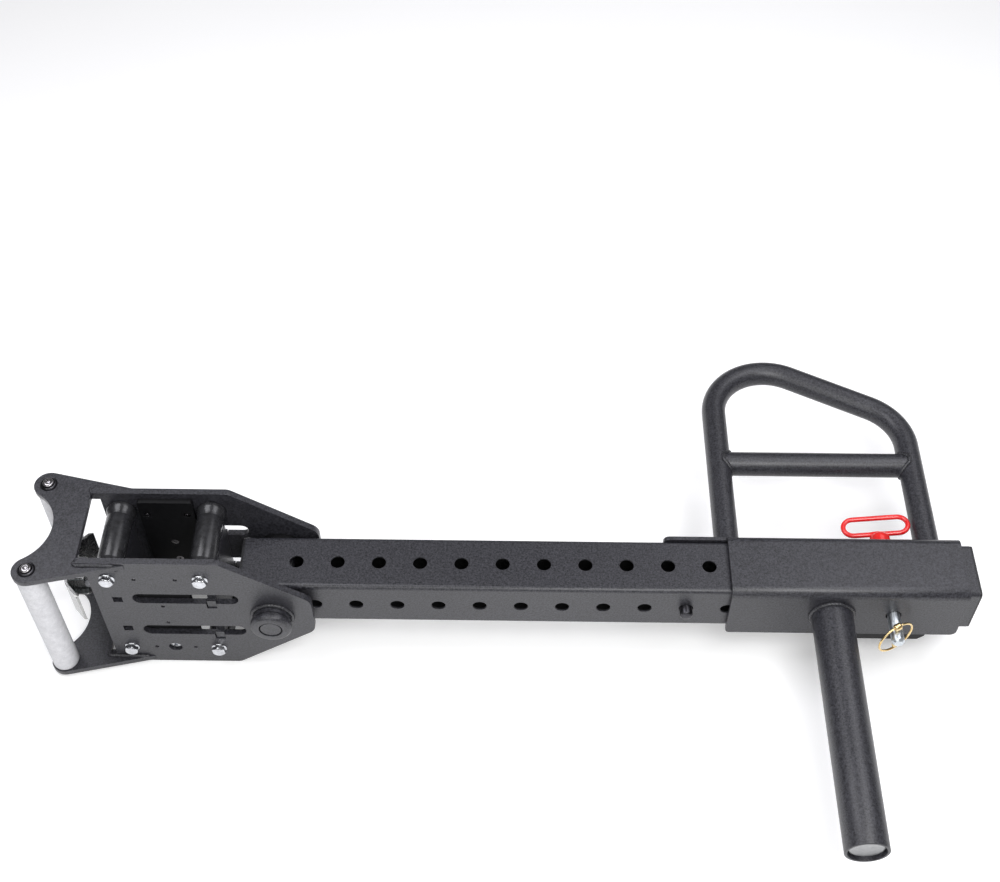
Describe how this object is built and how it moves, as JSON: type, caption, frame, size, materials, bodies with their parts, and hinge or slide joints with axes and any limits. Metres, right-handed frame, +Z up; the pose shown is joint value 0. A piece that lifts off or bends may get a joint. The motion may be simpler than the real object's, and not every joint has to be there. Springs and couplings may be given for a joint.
{
  "type": "rack lever arm on roller trolley",
  "caption": "Lever arm for a weight rack: roller trolley with squeeze-trigger lock, hinged square tube with hole rows, pinned bracket with weight post and D-handle.",
  "frame": {"origin": "centre of the upright channel in the roller trolley, level with the arm's axis", "axes": "+X along the arm from the trolley to the handle end, +Y to the D-handle side (the weight post points to -Y), +Z up the rack upright"},
  "size_m": [1.1563, 0.7171, 0.2224],
  "materials": {
    "powder_coat": "fine speckled charcoal powder coat",
    "weld_bead": "powder-coated weld bead",
    "red_vinyl": "glossy dipped vinyl",
    "black_plastic": "moulded, satin",
    "grey_plastic": "light grey, fine speckle, matte",
    "grey_cap": "glossy moulded cap",
    "bright_zinc": "bright zinc plate",
    "black_oxide": "black oxide, semi-gloss",
    "stainless": "brushed stainless sheet",
    "spring_steel": "bright drawn wire",
    "yellow_zinc": "yellow zinc plate"
  },
  "bodies": {
    "trolley": {"side_plate_near": "powder_coat", "side_plate_far": "powder_coat", "ear_plate_top": "powder_coat", "ear_plate_bottom": "powder_coat", "ear_welds": "weld_bead", "lock_plate": "powder_coat", "stop_plate": "powder_coat", "liner_near": "black_plastic", "liner_far": "black_plastic", "liner_screws": "black_oxide", "recess_screws": "bright_zinc", "roller_bolts": "bright_zinc", "roller_nuts": "bright_zinc", "pivot_shaft": "bright_zinc", "pivot_collars": "powder_coat", "collar_welds": "weld_bead", "grip_near": "grey_plastic", "grip_far": "grey_plastic", "grip_screws": "black_oxide", "grip_washers": "black_oxide", "lock_barrel": "bright_zinc", "lock_spring": "spring_steel"},
    "roller_upper_left": {"roller_tl": "black_plastic"},
    "roller_upper_right": {"roller_tr": "black_plastic"},
    "roller_lower_left": {"roller_bl": "black_plastic"},
    "roller_lower_right": {"roller_br": "black_plastic"},
    "trigger": {"trigger": "stainless", "trigger_cheeks": "stainless", "trigger_nut": "bright_zinc", "lock_pin": "bright_zinc"},
    "arm": {"arm_tube": "powder_coat", "plug_left": "black_plastic", "plug_right": "black_plastic", "pivot_boss": "powder_coat", "pivot_washers": "black_plastic", "bracket": "powder_coat", "bracket_liners": "black_plastic", "fixed_pin": "black_oxide", "handle_bow": "powder_coat", "handle_crossbar": "powder_coat", "handle_welds": "weld_bead", "weight_post": "powder_coat", "post_weld": "weld_bead", "post_cap": "grey_cap"},
    "hitch_pin": {"hitch_shank": "bright_zinc", "pull_handle": "red_vinyl", "lynch_pin": "yellow_zinc"},
    "lynch_ring": {"lynch_ring": "yellow_zinc"}
  },
  "joints": [
    {"name": "arm_hinge", "type": "hinge", "parent": "trolley", "child": "arm", "pos_m": [0.1325, 0, 0], "axis": [0, -1, 0], "range_deg": [-90, 90]},
    {"name": "roller_upper_left_spin", "type": "hinge", "parent": "trolley", "child": "roller_upper_left", "pos_m": [-0.0555, 0, 0.077], "axis": [0, 1, 0], "continuous": true},
    {"name": "roller_upper_right_spin", "type": "hinge", "parent": "trolley", "child": "roller_upper_right", "pos_m": [0.0555, 0, 0.077], "axis": [0, 1, 0], "continuous": true},
    {"name": "roller_lower_left_spin", "type": "hinge", "parent": "trolley", "child": "roller_lower_left", "pos_m": [-0.0555, 0, -0.077], "axis": [0, 1, 0], "continuous": true},
    {"name": "roller_lower_right_spin", "type": "hinge", "parent": "trolley", "child": "roller_lower_right", "pos_m": [0.0555, 0, -0.077], "axis": [0, 1, 0], "continuous": true},
    {"name": "trigger_squeeze", "type": "slide", "parent": "trolley", "child": "trigger", "axis": [-1, 0, 0], "range_m": [0, 0.02], "stiffness_N_per_m": 1500, "springref_m": -0.01, "deforming": ["lock_spring"]},
    {"name": "hitch_pin_slide", "type": "slide", "parent": "arm", "child": "hitch_pin", "axis": [0, 1, 0], "range_m": [0, 0.011]},
    {"name": "lynch_ring_swing", "type": "hinge", "parent": "hitch_pin", "child": "lynch_ring", "pos_m": [0.8933, -0.0682, 0.01244], "axis": [-0.8748, -0.4772, -0.0842], "range_deg": [0, 175]}
  ]
}
